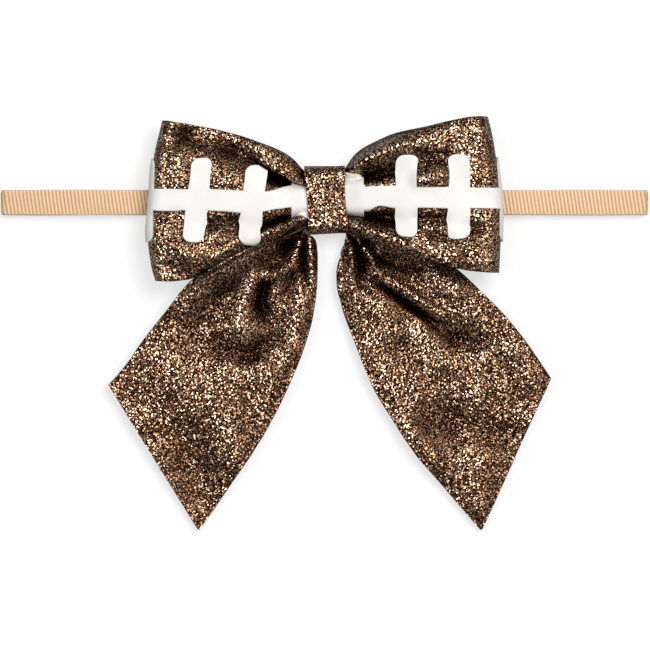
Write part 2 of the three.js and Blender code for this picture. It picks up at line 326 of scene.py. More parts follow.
def knit_finish():
    """Nude ribbed nylon: warm grooves between pale ribs, fine rows of stitches and a soft sheen."""
    finish = Finish("nude_rib_knit", Roughness=0.72, Sheen_Weight=0.25, Sheen_Roughness=0.5)
    uv = finish.add("UVMap", {"uv_map": "flat"})
    parts = finish.add("SeparateXYZ", sockets={0: uv})
    s, y = parts, Wire(parts.socket.node.outputs[1])
    drift = finish.add("TexNoise", {"noise_dimensions": "2D"}, {"Vector": uv, "Scale": 160.0})
    turns = s * (1 / RIB_PITCH) + y * (RIB_SLANT / MM) + (drift - 0.5) * 0.25
    rib = turns.math("COSINE", turns * (2 * math.pi)) * 0.5 + 0.5
    stitch = turns.math("SINE", y * (2 * math.pi / (0.42 * MM)) + s * (math.pi / RIB_PITCH)) * 0.5 + 0.5
    edge = finish.smooth(y.math("ABSOLUTE", y), 2.55 * MM, 3.1 * MM)
    blotch = finish.add("TexNoise", {"noise_dimensions": "2D"}, {"Vector": uv, "Scale": 700.0})
    shade = finish.add("ValToRGB", {"stops": [
        (0.0, srgb(200, 136, 78)), (0.32, srgb(226, 174, 120)), (0.6, srgb(240, 206, 166)),
        (1.0, srgb(248, 224, 194))]}, {0: rib * 0.85 + stitch * 0.1 + blotch * 0.16})
    colour = finish.mix(edge * 0.55, shade, srgb(243, 214, 180))
    height = rib * 0.8 + stitch * 0.35 + blotch * 0.2
    bump = finish.add("Bump", sockets={"Height": height, "Strength": 0.5, "Distance": 0.12 * MM})
    finish.set(Base_Color=colour, Normal=bump)
    return finish


def thread_finish(name, colour):
    """Twisted sewing thread: slanting plies in two tones."""
    finish = Finish(name, Roughness=0.6)
    place = finish.add("TexCoord", out="Object")
    twist = finish.add("TexWave", {"bands_direction": "DIAGONAL"},
                       {"Vector": place, "Scale": 900.0, "Distortion": 2.0})
    dark = tuple(0.45 * c for c in colour[:3]) + (1.0,)
    ply = finish.smooth(twist, 0.2, 0.7)
    bump = finish.add("Bump", sockets={"Height": ply, "Strength": 0.6, "Distance": 0.05 * MM})
    finish.set(Base_Color=finish.mix(ply, dark, colour), Normal=bump)
    return finish


def dress(node, finish):
    """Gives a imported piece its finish."""
    bpy.data.objects[node].data.materials.clear()
    bpy.data.objects[node].data.materials.append(finish.material)


band = new_piece("knit_headband", *knit_band(), [knit_finish()])
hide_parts("headband")
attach(band, "headband")
dress("headband_stitching", thread_finish("nude_thread", srgb(232, 198, 160)))

# ---- Loops --------------------------------------------------------------------------------------
# Each loop is the end of a strip of glitter sheet, 0.8 mm thick, folded back on itself and pinched
# at the knot. The pinch leaves a flat ridge under the lace with a deep valley on either side of it,
# and rolls the strip's two edges over.

SHEET = 0.8 * MM
STRIP_WIDTH = 40 * MM
LOOP_SHARE = 0.84
FOLD_REACH = 2.6
LOOP_BACK = 6.15
NECK = 3.9


def curve(stations, x):
    """Smooth line through [x, value] stations, level past its ends: cubic pieces whose slope at a station
    is the harmonic mean of the slopes on either side, or 0 at a peak, so that it never overshoots."""
    at, value = np.array(stations, float).T
    pitch = np.diff(value) / np.diff(at)
    before, after = pitch[:-1], pitch[1:]
    turning = before * after <= 0
    mean = 2 * before * after / np.where(turning, 1, before + after)
    slope = np.r_[pitch[0], np.where(turning, 0, mean), pitch[-1]]
    x = np.clip(x, at[0], at[-1])
    i = np.clip(np.searchsorted(at, x, side="right") - 1, 0, len(at) - 2)
    span = at[i + 1] - at[i]
    t = (x - at[i]) / span
    return ((1 + 2 * t) * (1 - t) ** 2 * value[i] + t * (1 - t) ** 2 * span * slope[i]
            + t * t * (3 - 2 * t) * value[i + 1] + t * t * (t - 1) * span * slope[i + 1])


def soft_step(value, low, high):
    """0 at low, 1 at high and smooth between; high may be the smaller one."""
    t = np.clip((value - low) / (high - low), 0, 1)
    return t * t * (3 - 2 * t)


def groove(offset, upper, lower):
    """Bell across a fold, with its own width on each side of the line."""
    return np.exp(-(offset / np.where(offset > 0, upper, lower)) ** 2)


def crease(x, y, route, lifts, widths):
    """Ridge or valley along a broken line: a bell of the distance to it, with a lift and a width given
    at each corner of the line."""
    best = np.full(x.shape, np.inf)
    lift, width = np.zeros(x.shape), np.ones(x.shape)
    for i in range(len(route) - 1):
        (x0, y0), (x1, y1) = route[i], route[i + 1]
        length = (x1 - x0) ** 2 + (y1 - y0) ** 2
        t = np.clip(((x - x0) * (x1 - x0) + (y - y0) * (y1 - y0)) / length, 0, 1)
        gap = np.hypot(x - x0 - t * (x1 - x0), y - y0 - t * (y1 - y0))
        near = gap < best
        best = np.where(near, gap, best)
        lift = np.where(near, lifts[i] + t * (lifts[i + 1] - lifts[i]), lift)
        width = np.where(near, widths[i] + t * (widths[i + 1] - widths[i]), width)
    return lift * np.exp(-(best / width) ** 2)


# Stations run out from the middle of the knot, in millimetres. crest is the height of the sheet
# between folds; each fold has its line, depth and its widths above and below that line.
LOOPS = {
    "right": dict(
        sign=1,
        top=[(3.9, 6.3), (5.4, 7.5), (6.4, 9.0), (7.9, 11.0), (9.9, 12.6), (13.0, 14.2), (18.0, 16.3),
             (25.5, 17.9), (33.0, 19.7), (38.1, 20.5), (44.5, 20.6)],
        bottom=[(3.9, -6.6), (5.4, -7.6), (9.9, -9.5), (17.2, -12.3), (26.7, -15.5), (31.6, -17.0),
                (36.6, -18.0), (44.5, -18.7)],
        fold=[(-19.2, 43.6), (-5.3, 44.1), (-0.4, 44.0), (6.5, 43.3), (12.5, 42.5), (16.9, 41.7),
              (20.6, 40.8)],
        crest=[(3.9, 9.6), (5.4, 9.8), (10, 11.6), (18, 12.9), (28, 13.9), (38, 14.0), (45, 13.6)],
        folds=[
            dict(line=[(4, 4.4), (8, 4.8), (12, 5.3), (17, 6.6), (24, 8.6), (30, 10)],
                 depth=[(4, 2.6), (8, 3.4), (12, 3.6), (17, 2.2), (24, 0.9), (32, 0)],
                 upper=[(4, 1.0), (12, 2.6), (24, 4.0)], lower=[(4, 0.7), (12, 1.1), (24, 3.0)]),
            dict(line=[(4, -3.3), (8, -3.7), (12, -4.0), (17, -4.5), (24, -6.5), (30, -8)],
                 depth=[(4, 2.4), (8, 3.2), (12, 4.0), (17, 3.4), (21, 1.6), (27, 0.4), (32, 0)],
                 upper=[(4, 0.7), (12, 1.0), (24, 2.6)], lower=[(4, 0.9), (12, 2.2), (24, 3.4)]),
        ],
        creases=[
            ([(7.5, 7.6), (9.5, 9.2), (13.2, 11.2), (18.5, 13.4), (24, 14.2)], [0.7, 1.2, 1.4, 1.1, 0.4],
             [0.8, 1.1, 1.3, 1.5, 1.8]),
            ([(24, 4.8), (29, 5.8)], [1.3, 1.0], [1.9, 2.1]),
            ([(25, 10.8), (31, 10.6)], [-1.0, -0.8], [2.0, 2.2]),
            ([(23.5, -4.6), (30, -5.2)], [-1.3, -1.2], [1.6, 1.8]),
            ([(26.5, -8.8), (31, -10)], [-0.8, -0.9], [1.2, 1.4]),
            ([(11, -8.0), (20, -11.8)], [0.7, 0.8], [1.2, 1.6]),
            ([(36.5, -6.8), (39.5, -7.6)], [-1.0, -0.9], [1.5, 1.5]),
            ([(36, -11.8), (41, -15)], [0.9, 0.7], [2.4, 2.6]),
            ([(38, 9.0), (39, 16.0)], [0.4, 0.6], [2.2, 2.6]),
        ],
        roll=[(4, 2.0), (10, 3.6), (18, 3.0), (28, 1.6), (38, 0.7), (45, 0.3)],
        tuck=[(4, 1.2), (10, 1.6), (18, 1.4), (28, 0.9), (38, 0.5), (45, 0.3)],
    ),
    "left": dict(
        sign=-1,
        top=[(3.9, 6.1), (5.4, 7.0), (6.6, 8.2), (7.6, 9.4), (9.7, 11.0), (12.2, 12.3), (17.2, 14.2),
             (22.2, 16.0), (29.8, 17.9), (37.3, 19.2), (40.5, 19.6), (44.5, 19.6)],
        bottom=[(3.9, -5.8), (5.4, -6.6), (10.8, -9.3), (16.0, -11.2), (21.5, -13.6), (27.0, -16.6),
                (31.1, -18.8), (34.6, -20.2), (38.5, -20.7), (44.5, -20.4)],
        fold=[(-21.1, 42.1), (-16.2, 43.4), (-8.3, 44.2), (-0.4, 43.5), (6.5, 43.1), (12.2, 42.3),
              (16.4, 41.3), (19.7, 40.5)],
        crest=[(3.9, 9.6), (5.4, 9.8), (10, 11.4), (18, 12.7), (28, 13.6), (38, 13.8), (45, 13.4)],
        folds=[
            dict(line=[(4, 2.9), (8, 4.0), (12, 5.7), (16, 7.9), (20, 9.8), (26, 12)],
                 depth=[(4, 2.8), (8, 4.4), (12, 4.4), (16, 2.8), (20, 1.4), (28, 0)],
                 upper=[(4, 0.5), (12, 0.8), (20, 2.2), (26, 4)], lower=[(4, 0.7), (12, 2.4), (24, 4)]),
            dict(line=[(4, -3.0), (9.7, -4.9), (15.5, -6.9), (19, -8.2), (26, -11)],
                 depth=[(4, 2.4), (8, 3.4), (12, 3.8), (17, 3.0), (22, 1.4), (29, 0)],
                 upper=[(4, 0.7), (12, 1.6), (24, 3.4)], lower=[(4, 0.7), (12, 1.2), (24, 2.6)]),
        ],
        creases=[
            ([(9, 10.0), (13, 11.8), (18, 13.6)], [0.5, 0.9, 0.6], [0.9, 1.2, 1.5]),
            ([(17.5, 11.0), (23, 12.6), (29, 14.0), (35, 16)], [-0.9, -2.1, -2.2, -1.6],
             [1.8, 2.6, 3.2, 3.2]),
            ([(35.5, 16.5), (39.5, 14.5)], [-0.9, -0.9], [2.4, 2.6]),
            ([(35.3, 4.5), (37, 9.5)], [0.8, 0.8], [2.0, 2.4]),
            ([(21, 4.6), (26, 6.2)], [0.5, 0.6], [2.0, 2.0]),
            ([(22, -5.4), (29, -6.2)], [-1.3, -1.1], [1.7, 1.8]),
            ([(21.5, -9.6), (27.5, -10.4)], [0.9, 0.6], [1.6, 2.2]),
            ([(37.5, -3.8), (41, -4.6)], [-0.7, -0.8], [1.6, 1.6]),
            ([(40, -8.5), (37, -12.5), (32, -15.2)], [0.8, 0.9, 0.6], [2.2, 2.2, 2.0]),
            ([(40.5, -17), (36, -18.5), (30, -17)], [-0.9, -0.9, -0.8], [1.8, 1.8, 1.8]),
        ],
        roll=[(4, 1.6), (10, 2.2), (18, 1.8), (28, 1.0), (38, 0.5), (45, 0.3)],
        tuck=[(4, 1.0), (10, 3.0), (18, 3.8), (26, 3.4), (32, 2.0), (38, 0.8), (45, 0.4)],
    ),
}


def front_height(loop, x, y, relief=1.0):
    """Height of the loop's front leaf: its crest, less each fold, with its creases, less the roll of its
    two edges, plus the slow waves of a stiff sheet."""
    z = curve(loop["crest"], x)
    for fold in loop["folds"]:
        bell = groove(y - curve(fold["line"], x), curve(fold["upper"], x), curve(fold["lower"], x))
        z = z - relief * curve(fold["depth"], x) * bell
    for route, lifts, widths in loop["creases"]:
        z = z + crease(x + 0 * y, y + 0 * x, route, lifts, widths)
    top, bottom = curve(loop["top"], x), curve(loop["bottom"], x)
    z = z - curve(loop["roll"], x) * np.clip(1 - (top - y) / 3.2, 0, 1.2) ** 2
    z = z - curve(loop["tuck"], x) * np.clip(1 - (y - bottom) / 3.0, 0, 1.2) ** 2
    far = soft_step(x, 8, 20)
    waves = (np.sin(x / 3.1 + y / 4.7 + loop["sign"]) * np.sin(y / 2.9 - x / 5.3)
             + 0.6 * np.sin(y / 1.7 + x / 2.3))
    return z + 0.14 * far * waves


def back_height(x):
    """Height of the loop's back leaf, which lies over the headband and dips to the pinch."""
    return curve([(3.9, 7.9), (6, 7.4), (9, 6.6), (13, LOOP_BACK), (45, LOOP_BACK)], x)


def loop_point(loop, run, y, relief=1.0):
    """Middle of the loop's sheet at a distance run along the strip from the knot, at height y across
    it: out along the front, round the outer fold as half an ellipse, and in along the back. relief
    scales the depth of the folds."""
    turn = curve(loop["fold"], y)
    flat = turn - FOLD_REACH
    half = (front_height(loop, flat, y, relief) - back_height(flat)) / 2
    bend = np.pi * np.sqrt((half ** 2 + FOLD_REACH ** 2) / 2)
    angle = np.clip((run - flat) / bend, 0, 1) * np.pi
    x = np.where(run < flat, run, flat + FOLD_REACH * np.sin(angle))
    x = np.where(run > flat + bend, 2 * flat + bend - run, x)
    front = front_height(loop, np.minimum(x, flat), y, relief)
    back = back_height(x)
    share = (1 + np.cos(angle)) / 2
    z = np.where(angle > 0, back + (front - back) * share, front)
    return np.stack([loop["sign"] * x, y, z], -1) * MM


def strip_length(loop):
    """Length of the loop's strip from the knot round the fold and back."""
    flat = curve(loop["fold"], 0.0) - FOLD_REACH
    half = (front_height(loop, flat, 0.0) - LOOP_BACK) / 2
    return float(2 * (flat - NECK) + np.pi * np.sqrt((half ** 2 + FOLD_REACH ** 2) / 2))


def plan_x(loop, run, y):
    """Distance out from the knot, seen from above, of a run along the strip."""
    return np.abs(loop_point(loop, run, y)[..., 0]) / MM


def flat_map(grid, anchor):
    """UV of a grid of points as the sheet lay before it was bent: distance along its anchor column, and
    distance across from that column."""
    along = np.linalg.norm(np.diff(grid[:, anchor], axis=0), axis=1)
    across = np.linalg.norm(np.diff(grid, axis=1), axis=2)
    u = np.r_[0, np.cumsum(along)]
    v = np.concatenate([np.zeros((len(grid), 1)), np.cumsum(across, axis=1)], 1)
    return np.stack([u[:, None] + 0 * v, v - v[:, anchor][:, None]], -1)


def blurred(values, reach):
    """Running mean over a window of reach cells on each side, along both axes of a grid."""
    for axis in (0, 1):
        pads = [(0, 0), (0, 0)]
        pads[axis] = (reach + 1, reach)
        total = np.cumsum(np.pad(values, pads, mode="edge"), axis=axis)
        count = values.shape[axis]
        upper = np.take(total, np.arange(count) + 2 * reach + 1, axis=axis)
        values = (upper - np.take(total, np.arange(count), axis=axis)) / (2 * reach + 1)
    return values


def hollow_of(grid):
    """How far each point of a grid lies below the mean of the sheet around it; the glitter finish turns it
    into painted shade in folds and painted highlight on ridges.
    """
    z = grid[..., 2]
    return 0.5 * blurred(z, 5) + blurred(z, 14) + 0.7 * blurred(z, 32) - 2.2 * z


def sheet_piece(name, grid, thickness, finishes, flip=False, anchor=75, normal=None, uv=None, keep=None):
    """Closed sheet about a grid of middle points: front and back half a thickness away along the
    normals, and a rim along every edge that only one cell uses. keep leaves cells out. finishes are
    those of the front, the rim and the back."""
    winding = unit(np.cross(np.gradient(grid, axis=0), np.gradient(grid, axis=1)))
    if normal is None:
        normal = -winding if flip else winding
    hollow = hollow_of(grid).ravel()
    uv = (flat_map(grid, anchor) if uv is None else uv).reshape(-1, 2)
    faces = quads(*grid.shape[:2])
    if keep is not None:
        faces = faces[keep.ravel()]
    if np.nansum(normal * winding) > 0:
        faces = faces[:, ::-1]
    used, faces = np.unique(faces, return_inverse=True)
    faces = faces.reshape(-1, 4)
    count = len(used)
    start, stop = faces.ravel(), np.roll(faces, -1, axis=1).ravel()
    outer = ~np.isin(stop * count + start, start * count + stop)
    rim = np.stack([stop[outer], start[outer], start[outer] + count, stop[outer] + count], 1)
    middle, normal = grid.reshape(-1, 3)[used], normal.reshape(-1, 3)[used]
    points = np.vstack([middle + normal * thickness / 2, middle - normal * thickness / 2])
    slots = np.repeat([0, 2, 1], [len(faces), len(faces), len(rim)])
    item = new_piece(name, points, np.vstack([faces, faces[:, ::-1] + count, rim]),
                     np.vstack([uv[used], uv[used]]), finishes, slots)
    # Depth below the surrounding sheet, kept as the hollow attribute from which the glitter finish paints
    # shade into hollows and highlight onto ridges.
    depth = item.data.attributes.new("hollow", "FLOAT", "POINT")
    depth.data.foreach_set("value", np.tile(hollow[used], 2).astype(np.float32))
    return item


def flakes(finish, place, size, shift, dimensions="2D"):
    """One layer of glitter: cells of about one flake each, with the distance from each flake's middle
    and three random numbers for each flake."""
    moved = finish.add("Mapping", sockets={"Vector": place, "Location": shift, "Scale": (1 / size,) * 3})
    cells = finish.add("TexVoronoi", {"voronoi_dimensions": dimensions, "feature": "F1"},
                       {"Vector": moved, "Scale": 1.0})
    split = finish.add("SeparateColor", sockets={0: Wire(cells.socket.node.outputs["Color"])})
    random = [Wire(split.socket.node.outputs[i]) for i in range(3)]
    return cells, random, Wire(cells.socket.node.outputs["Color"])


GLITTER_STOPS = [
    (0.00, srgb(12, 6, 4)), (0.25, srgb(52, 32, 23)), (0.45, srgb(118, 86, 64)),
    (0.62, srgb(186, 147, 115)), (0.80, srgb(230, 200, 172)), (0.92, srgb(246, 228, 208)),
    (1.00, srgb(254, 246, 234)),
]


def glitter_finish(name, coordinates="flat"):
    """Glitter sheet: two layers of metal flakes in gold, copper and cream, each flake tilted its own
    way, on a nearly black brown ground. Painted shade darkens its colour to a warm brown in the
    sheet's hollows, and a painted highlight brightens it on the ridges."""
    finish = Finish(name, Metallic=1.0, Specular_IOR_Level=0.1)
    dimensions = "2D" if coordinates == "flat" else "3D"
    if coordinates == "flat":
        place = finish.add("UVMap", {"uv_map": "flat"})
    else:
        place = finish.add("TexCoord", out="Object")
    upper, pick, tint = flakes(finish, place, 0.35 * MM, (0.0, 0.0, 0.0), dimensions)
    lower, pick_low, tint_low = flakes(finish, place, 0.25 * MM, (3.7, 8.1, 2.3), dimensions)
    on_top = upper < pick[1] * 0.35 + 0.24
    colour_top = finish.add("ValToRGB", {"stops": GLITTER_STOPS}, {0: pick[0]})
    colour_low = finish.add("ValToRGB", {"stops": GLITTER_STOPS}, {0: pick_low[0] * 0.7})
    copper = finish.mix((pick[2] > 0.89) * 0.28, colour_top, srgb(222, 132, 70))
    rose = finish.mix((pick[2] < 0.08) * 0.4, copper, srgb(232, 176, 168))
    sunk = finish.mix((lower > 0.285), colour_low, srgb(14, 7, 4))
    colour = finish.mix(on_top, sunk, rose)
    # Painted shade and highlight: the colour is multiplied down to 0.17 where the sheet lies below its
    # surroundings and up to 1.44 on its ridges, standing in for shade in the folds and light on the crests.
    hollow = finish.add("Attribute", {"attribute_name": "hollow"}, out="Fac")
    painted_shade_and_highlight = finish.mix(finish.smooth(hollow, -1.7 * MM, 1.9 * MM), (1.44, 1.36, 1.26, 1),
    (0.17, 0.11, 0.08, 1))
    colour = finish.add("VectorMath", {"operation": "MULTIPLY"}, {0: colour, 1: painted_shade_and_highlight})
    toss = finish.add("Mix", {"data_type": "VECTOR"}, {0: on_top, 4: tint_low, 5: tint}, 1)
    lean = finish.add("VectorMath", {"operation": "SUBTRACT"}, {0: toss, 1: (0.5, 0.5, 0.5)})
    lean = finish.add("VectorMath", {"operation": "SCALE"}, {0: lean, "Scale": 0.66})
    normal = finish.add("NewGeometry", out="Normal")
    normal = finish.add("VectorMath", {"operation": "ADD"}, {0: normal, 1: lean})
    normal = finish.add("VectorMath", {"operation": "NORMALIZE"}, {0: normal})
    finish.set(Base_Color=colour, Roughness=pick[1] * 0.2 + 0.20, Normal=normal)
    return finish


def cut_edge_finish():
    """Cut edge of the glitter sheet: brown core with paler fibres and stray flakes."""
    finish = Finish("cut_edge", Roughness=0.8)
    place = finish.add("TexCoord", out="Object")
    fibre = finish.add("TexNoise", sockets={"Vector": place, "Scale": 1800.0, "Detail": 3.0})
    colour = finish.add("ValToRGB", {"stops": [
        (0.30, srgb(70, 56, 48)), (0.50, srgb(134, 120, 110)), (0.70, srgb(214, 206, 198))]}, {0: fibre})
    bump = finish.add("Bump", sockets={"Height": fibre, "Strength": 0.4, "Distance": 0.1 * MM})
    finish.set(Base_Color=colour, Normal=bump)
    return finish


def backing_finish():
    """Back of the glitter sheet: dark brown brushed cloth with a fine weave."""
    finish = Finish("cloth_backing", Roughness=0.9, Sheen_Weight=0.2)
    uv = finish.add("UVMap", {"uv_map": "flat"})
    parts = finish.add("SeparateXYZ", sockets={0: uv})
    s, y = parts, Wire(parts.socket.node.outputs[1])
    pitch = 2 * math.pi / (0.5 * MM)
    weave = s.math("SINE", s * pitch) * s.math("SINE", y * pitch) * 0.5 + 0.5
    fuzz = finish.add("TexNoise", {"noise_dimensions": "2D"}, {"Vector": uv, "Scale": 1500.0})
    colour = finish.add("ValToRGB", {"stops": [
        (0.2, srgb(40, 28, 22)), (0.6, srgb(66, 47, 37)), (0.9, srgb(92, 70, 56))]},
        {0: weave * 0.45 + fuzz * 0.6})
    bump = finish.add("Bump", sockets={"Height": weave + fuzz, "Strength": 0.4, "Distance": 0.08 * MM})
    finish.set(Base_Color=colour, Normal=bump)
    return finish


GLITTER = glitter_finish("glitter_sheet")
SHEET_FINISHES = [GLITTER, cut_edge_finish(), backing_finish()]


def loop_grid(loop, rows=300, columns=150):
    """Grid over the whole loop: runs along the strip, and from its lower to its upper edge."""
    run = NECK + np.linspace(0, strip_length(loop), rows)[:, None]
    share = np.linspace(0, 1, columns)[None, :]
    y = np.zeros((rows, columns))
    for _ in range(4):
        x = plan_x(loop, run + 0 * y, y)
        y = curve(loop["bottom"], x) * (1 - share) + curve(loop["top"], x) * share
    return loop_point(loop, run + 0 * y, y)


for side, loop in LOOPS.items():
    item = sheet_piece(f"{side}_loop_sheet", loop_grid(loop), SHEET, SHEET_FINISHES,
                       flip=loop["sign"] < 0)
    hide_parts(f"{side}_loop")
    strip_length(loop) * MM
    LOOP_SHARE * STRIP_WIDTH * strip_length(loop) * MM
    loop["sign"] * 4 * MM
    loop["sign"] * 12 * MM
    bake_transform(item)

# ---- Laces --------------------------------------------------------------------------------------
# White die-cut strips ironed onto the loops: one long bar with round-ended crossbars, carried from
# the knot over the front, round the outer fold and along the back.

LACE = 0.5 * MM
LACE_CLEARANCE = 0.10 * MM
BAR = 5.3
CROSSBAR = 5.4
CORNER = 2.0
LACES = {
    "right": dict(bars=[7.3, 20.7, 33.8, 47.2, 60.7, 74.2], lean=[0, 0, 0, 0, 0, 0],
                  top=[6.8, 11.1, 11.1, 10.5, 10.1, 10.1], bottom=[-3.8, -9.9, -10.3, -10.7, -10.9, -10.9],
                  line=[(3.9, 0.0), (11.9, 0.3), (15.8, 0.5), (23.7, 0.5), (33.6, 0.2), (90.0, -0.4)],
                  nip=[(3.9, 0.0), (11, 0.0), (14, 0.5), (18, 0.0), (90, 0.0)]),
    "left": dict(bars=[5.9, 18.1, 31.9, 45.7, 59.4, 72.9], lean=[0, -0.10, -0.11, 0, 0, 0],
                 top=[3.6, 8.3, 10.0, 10.1, 10.1, 10.1], bottom=[-4.7, -11.1, -11.1, -10.9, -10.9, -10.9],
                 line=[(3.9, 0.6), (7.4, 0.2), (11.9, -0.5), (15.8, -0.9), (20.8, -0.6), (33.6, -0.2),
                       (90.0, -0.4)],
                 nip=[(3.9, 0.5), (12, 0.7), (16, 0.3), (20, 0.0), (90, 0.0)]),
}


def lace_rows(lace, length):
    """Runs along the strip: even steps, and closer ones through each crossbar's rounded corners."""
    corner = np.sin(np.linspace(0, np.pi / 2, 9))
    runs = [np.linspace(NECK, NECK + length - 0.5, 280)]
    for middle in lace["bars"]:
        rounded = middle + CROSSBAR / 2 - CORNER + CORNER * corner
        runs += [rounded, 2 * middle - rounded]
    rows = np.unique(np.concatenate(runs).round(5))
    return rows[(rows >= NECK) & (rows <= NECK + length - 0.5)]


def lace_strip(side):
    """Grid over the loop's outer face, its normals, its flat map and the cells it keeps. Columns run
    across the lower arms, the bar and the upper arms; between crossbars only the bar is kept. An arm's
    end is rounded by CORNER - sqrt(CORNER^2 - past^2), past being the way into the corner."""
    loop, lace = LOOPS[side], LACES[side]
    run = lace_rows(lace, strip_length(loop))
    middle = curve(lace["line"], run)
    bar_top, bar_bottom = middle + BAR / 2, middle - BAR / 2 + curve(lace["nip"], run)
    top, bottom = bar_top + 1, bar_bottom - 1
    tilt = np.zeros_like(run)
    armed = np.zeros(len(run), bool)
    for at, high, low, lean in zip(lace["bars"], lace["top"], lace["bottom"], lace["lean"]):
        reach = np.abs(run - at)
        inside = reach <= CROSSBAR / 2 + 1e-4
        past = np.clip(reach - (CROSSBAR / 2 - CORNER), 0, CORNER)
        corner = CORNER - np.sqrt(CORNER ** 2 - past ** 2)
        top = np.where(inside, np.maximum(high - corner * (high > 4), bar_top + 0.1), top)
        bottom = np.where(inside, np.minimum(low + corner * (low < -5), bar_bottom - 0.1), bottom)
        tilt += lean * soft_step(CROSSBAR / 2 + 2.2 - reach, 0, 2.1)
        armed |= inside
    share = np.linspace(0, 1, 17)[None, :]
    parts = [(bottom, bar_bottom), (bar_bottom, bar_top), (bar_top, top)]
    y = np.hstack([low[:, None] * (1 - share) + high[:, None] * share for low, high in parts])
    y = np.delete(y, [17, 34], axis=1)
    both = armed[:-1] & armed[1:]
    bar_cells = (np.arange(y.shape[1] - 1) // 16) == 1
    keep = both[:, None] | bar_cells[None, :]
    run = run[:, None] + tilt[:, None] * (y - middle[:, None])
    step = 0.05
    relief = curve([(NECK, 1), (11, 1), (14.5, 0.35), (90, 0.35)], run)
    along = loop_point(loop, run + step, y, relief) - loop_point(loop, run - step, y, relief)
    across = loop_point(loop, run, y + step, relief) - loop_point(loop, run, y - step, relief)
    normal = unit(np.cross(along, across)) * loop["sign"]
    grid = loop_point(loop, run, y, relief) + normal * (SHEET / 2 + LACE_CLEARANCE + LACE / 2)
    return grid, normal, np.stack([run, y], -1) * MM, keep


def lace_finish():
    """Flat white film with a faint leathery grain."""
    finish = Finish("white_film", Roughness=0.5, Specular_IOR_Level=0.35)
    uv = finish.add("UVMap", {"uv_map": "flat"})
    grain = finish.add("TexNoise", {"noise_dimensions": "2D"},
                       {"Vector": uv, "Scale": 900.0, "Detail": 4.0})
    cloud = finish.add("TexNoise", {"noise_dimensions": "2D"}, {"Vector": uv, "Scale": 60.0})
    colour = finish.mix(finish.smooth(cloud, 0.35, 0.65), srgb(252, 250, 246), srgb(248, 243, 236))
    bump = finish.add("Bump", sockets={"Height": grain, "Strength": 0.3, "Distance": 0.03 * MM})
    finish.set(Base_Color=colour, Normal=bump)
    return finish


def film_edge_finish():
    """Cut edge of the film, a little creamier than its face."""
    finish = Finish("film_edge", Roughness=0.6)
    place = finish.add("TexCoord", out="Object")
    grain = finish.add("TexNoise", sockets={"Vector": place, "Scale": 1200.0})
    finish.set(Base_Color=finish.mix(grain, srgb(214, 204, 190), srgb(236, 230, 220)))
    return finish


FILM = lace_finish()
FILM_EDGE = film_edge_finish()
for side, lace in LACES.items():
    grid, normal, flat, keep = lace_strip(side)
    item = sheet_piece(f"{side}_lace_film", grid, LACE, [FILM, FILM_EDGE, FILM], normal=normal, uv=flat,
                       keep=keep)
    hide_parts(f"{side}_lace")
    length = float(flat[-1, 0, 0] - flat[0, 0, 0])
    sign = LOOPS[side]["sign"]
    sign * 4 * MM
    sign * 12 * MM
    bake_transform(item)

# ---- Tails --------------------------------------------------------------------------------------
# Two long ends of glitter sheet come out of the knot's lower corners in a fan of folds, and flatten
# towards their slanted ends. The left one's upper edge stands up in front of the left loop.

